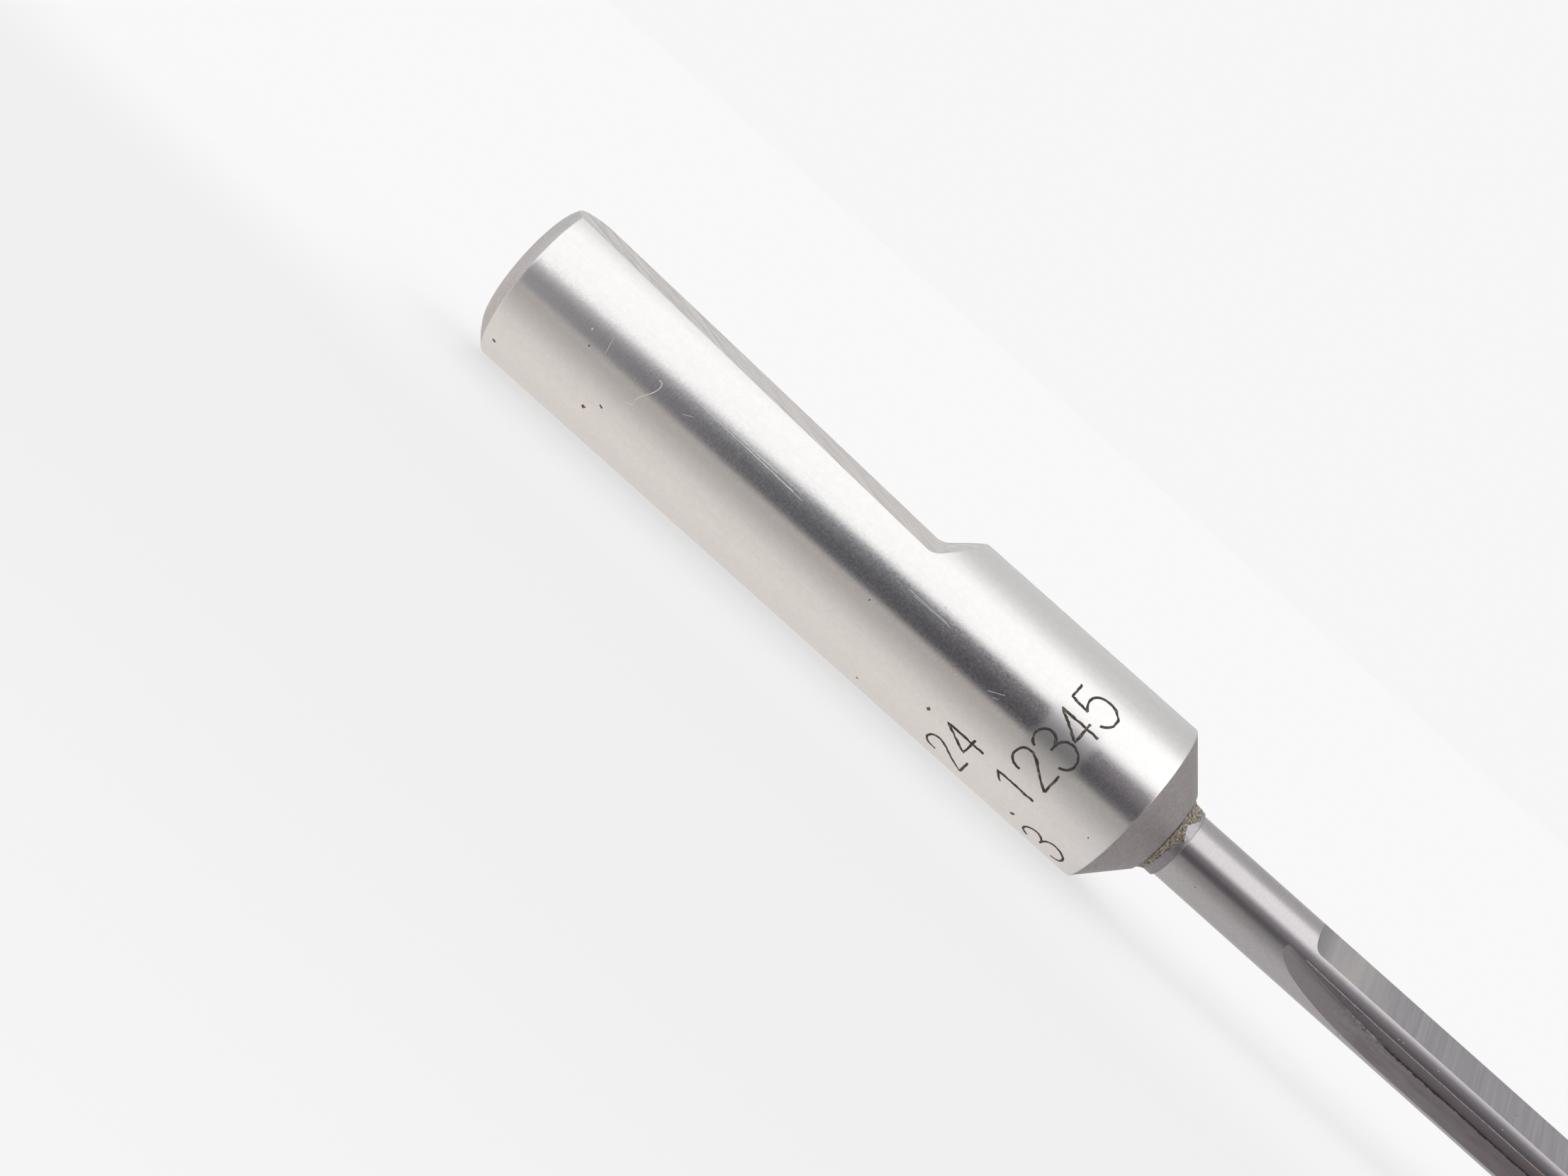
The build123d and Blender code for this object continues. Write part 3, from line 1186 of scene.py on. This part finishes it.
# %% [markdown]
# ## The engraved numbers
# A vibrating needle wrote a few characters round the shank, with their tops to the rear.
# Plain counting digits stand in their place. Each line is a slightly shaky strip on the
# round whose dark colour is painted shade of the groove, with brown spots where the needle
# dwelt.

# %% Digits
# Strokes of each digit on a cell that is 1 high, each with its kind and its points
digit_strokes = {
    "1": [("straight", [(0.08, 0.80), (0.27, 1.0), (0.27, 0.0)])],
    "2": [
        ("bent", [(0.02, 0.72), (0.0, 1.06), (0.50, 1.10), (0.50, 0.62), (0.18, 0.34), (0.0, 0.0)]),
        ("straight", [(0.0, 0.0), (0.47, 0.02)]),
    ],
    "3": [
        ("bent", [(0.02, 0.86), (0.08, 1.08), (0.50, 1.08), (0.50, 0.56), (0.16, 0.55)]),
        ("bent", [(0.16, 0.55), (0.56, 0.58), (0.58, -0.10), (0.06, -0.10), (0.0, 0.18)]),
    ],
    "4": [("straight", [(0.35, 0.0), (0.35, 1.0), (0.0, 0.32), (0.47, 0.32)])],
    "5": [
        ("straight", [(0.43, 1.0), (0.09, 1.0), (0.05, 0.55)]),
        ("bent", [(0.05, 0.55), (0.20, 0.72), (0.56, 0.64), (0.56, -0.10), (0.12, -0.12), (0.0, 0.16)]),
    ],
}
digit_cell_width = 0.46
digit_height = 2.35
digit_width = 1.15
digit_line = 0.14
# Each character: what it is, the angle of its middle round the axis, and its middle along it
engraved = [
    ("1", 214.0, -5.35), ("2", 196.0, -5.30), ("3", 179.0, -5.22), ("4", 162.0, -5.15),
    ("5", 145.5, -5.10), ("2", 233.0, -8.90), ("4", 214.5, -8.75), ("3", 238.0, -2.20),
]


def digit_lines():
    """The strokes of all the digits, laid round the shank with their tops to the rear."""
    lines = []
    for character, angle, x_middle in engraved:
        for kind, points in digit_strokes[character]:
            path = []
            for across_cell, up in points:
                sideways = (across_cell / digit_cell_width - 0.5) * digit_width
                path.append((
                    x_middle + (0.5 - up) * digit_height,
                    angle - degrees(sideways / shank_radius),
                ))
            lines.append((path, digit_line, kind == "bent"))
    return lines


def make_engraved_finish():
    """A dark colour, painted shade of the groove, with brown spots."""
    material, shader = new_finish("engraved line", (0.07, 0.06, 0.055), 0.5, 0.6)
    stain = noise(4.0, 4.0, 0.7)
    colour = mix(ramp(stain, 0.5, 0.68), (0.055, 0.05, 0.05), (0.26, 0.17, 0.10))
    feed(shader.inputs["Base Color"], colour)
    bump(shader, stain, 0.01, 0.8)
    return material


engraved_finish = make_engraved_finish()
line_piece("engraved_numbers", digit_lines(), shank_radius, engraved_finish, 0.05)

# %% [markdown]
# ## Wear
# The tool has been handled. It has a few long hair scratches where a holder rubbed it,
# some dark and pale specks, and one pale fibre that still clings to the shank.

# %% Scratches and specks
scratches = [
    ([(-30.3, 165.7), (-24.5, 167.1)], 0.022), ([(-29.8, 167.1), (-22.6, 169.4)], 0.026),
    ([(-27.9, 166.4), (-22.9, 166.8)], 0.018), ([(-26.4, 167.9), (-23.3, 168.9)], 0.018),
    ([(-15.8, 166.5), (-13.3, 166.5)], 0.022), ([(-15.4, 167.4), (-13.0, 167.1)], 0.016),
    ([(-9.6, 179.7), (-8.8, 175.3)], 0.020), ([(-9.2, 180.6), (-8.9, 179.4)], 0.015),
    ([(-29.9, 178.0), (-29.4, 175.1)], 0.014), ([(-35.0, 171.7), (-34.8, 181.4)], 0.020),
]
fibre = [
    (-31.9, 172.6), (-31.7, 172.1), (-31.6, 173.9), (-31.6, 177.4), (-31.8, 182.0),
    (-32.05, 186.1), (-32.2, 189.1), (-32.1, 192.1), (-32.2, 194.6), (-32.5, 195.1),
]
# Each speck: its place along the axis, its angle, its length and its width
dark_specks = [
    (-39.86, 226.9, 0.18, 0.16), (-34.11, 217.2, 0.16, 0.19), (-33.36, 208.3, 0.20, 0.08),
    (-35.67, 184.3, 0.05, 0.08), (-14.74, 238.3, 0.08, 0.09), (-1.01, 205.8, 0.06, 0.09),
    (-4.37, 234.9, 0.10, 0.27), (-11.10, 213.3, 0.16, 0.19), (-16.9, 186.2, 0.05, 0.06),
]
pale_specks = [(-36.09, 176.0, 0.04, 0.07), (-13.83, 160.7, 0.10, 0.13)]


def speck_lines(specks):
    """Each speck as a very short line, turned a little from the axis."""
    lines = []
    for x, angle, length, width in specks:
        ends = [(x - length / 2, angle - 0.5), (x + length / 2, angle + 0.5)]
        lines.append((ends, width, False))
    return lines


def make_mark_finish(name, colour, second, metallic, roughness):
    """A plain finish that is clouded between two colours."""
    material, shader = new_finish(name, colour, metallic, roughness)
    cloud = noise(6.0, 4.0, 0.7)
    feed(shader.inputs["Base Color"], mix(ramp(cloud, 0.35, 0.65), colour, second))
    return material


# The scratches are real wear; their pale matt colour is painted glint, the light that they catch
scratch_glint_finish = make_mark_finish("scratch", (0.80, 0.79, 0.79), (0.55, 0.54, 0.54), 0.0, 0.6)
# Pale and matt: the fibre's own colour, also used for the shank's pale specks, and on the rod for
# painted glints
fibre_and_glint_finish = make_mark_finish("fibre", (0.72, 0.70, 0.66), (0.60, 0.58, 0.54), 0.0, 0.8)
speck_finish = make_mark_finish("speck", (0.05, 0.045, 0.045), (0.20, 0.13, 0.075), 0.0, 0.7)
scratch_lines = [(path, width, False) for path, width in scratches]
line_piece("shank_scratches", scratch_lines, shank_radius, scratch_glint_finish, 0.01)
line_piece("shank_fibre", [(fibre, 0.045, True)], shank_radius, fibre_and_glint_finish)
line_piece("shank_specks", speck_lines(dark_specks), shank_radius, speck_finish, 0.05)
line_piece("shank_pale_specks", speck_lines(pale_specks), shank_radius, fibre_and_glint_finish, 0.03)

# %% [markdown]
# ## Bright edges
# Where two ground faces meet, the edge is never quite sharp. It has a hair-fine flat that
# catches the light, and along the lip it is chipped. Here that light is painted: a thin line
# of pale metal lies on the round along each edge. The edge is worked out from the wheel's
# path: at each place the groove's wall is followed outwards until it meets the round.

# %% Edges of the flutes
heel_begin = 11.6
lip_begin = 11.5
edge_end = drill_tip - 1.2
edge_step = 0.25
heel_line = 0.030
lip_line = 0.042


def wall_meets_round(x, wall_angle):
    """The angle at which a wall of the first flute reaches the rod's round."""
    behind = max(0.0, flute_full_depth - x)
    root = across(root_angle, root_distance)
    plunge = across(plunge_angle)
    out = across(wall_angle)
    reach = 1.0
    for _ in range(6):
        own_radius = wheel_radius - reach * out.dot(plunge)
        lift = own_radius - sqrt(own_radius ** 2 - behind ** 2)
        start = root + plunge * lift
        ahead = start.dot(out)
        inside = ahead ** 2 - start.length_squared + drill_radius ** 2
        if inside < 0:
            return None
        reach = sqrt(inside) - ahead
    edge = start + out * reach
    return degrees(atan2(edge.z, edge.y)) % 360


def edge_path(wall_angle, first):
    """The wall's edge on the round, as a path of (x, angle) places."""
    path = []
    x = first
    while x <= flute_full_depth:
        angle = wall_meets_round(x, wall_angle)
        if angle is not None:
            path.append((x, angle))
        x += edge_step
    return path


def flute_edge_lines():
    """The painted bright lines along the edges of both walls of both flutes, from the run-out to the
    point.
    """
    heel = edge_path(back_direction, heel_begin)
    heel.append((edge_end, heel[-1][1]))
    lip = edge_path(face_direction, lip_begin) + [(edge_end, lip_angle)]
    lines = []
    for half_turn in (0, 180):
        for path, width in ((heel, heel_line), (lip, lip_line)):
            lines.append(([(x, angle + half_turn) for x, angle in path], width, False))
    return lines


# Painted glints: pale metal lines along the ground edges
edge_glint_finish = make_mark_finish("painted edge glint", (0.80, 0.78, 0.78), (0.52, 0.50, 0.51), 1.0, 0.42)
line_piece("flute_edges", flute_edge_lines(), drill_radius, edge_glint_finish, 0.004)

# %% Specks and painted glints on the rod
chips = [(13.05, 176.9), (13.25, 177.6), (13.64, 178.9), (14.3, 178.6), (16.39, 179.2), (23.0, 178.9)]
# Painted glints: pale specks where the round catches the light
glints = [(3.81, 113.4), (17.52, 171.3), (17.81, 170.5), (20.03, 167.0), (24.3, 169.0)]
grime = [(15.46, 238.5), (24.48, 137.2), (5.0, 205.0)]
# Each piece: its name, its specks' places, their length and width, its finish and raggedness
rod_specks = [
    ("lip_chips", chips, 0.09, 0.05, speck_finish, 0.03),
    ("rod_painted_glints", glints, 0.03, 0.045, fibre_and_glint_finish, 0.01),
    ("rod_dark_specks", grime, 0.05, 0.07, speck_finish, 0.03),
]
for name, places, length, width, finish, rough in rod_specks:
    specks = speck_lines([(x, angle, length, width) for x, angle in places])
    line_piece(name, specks, drill_radius, finish, rough)
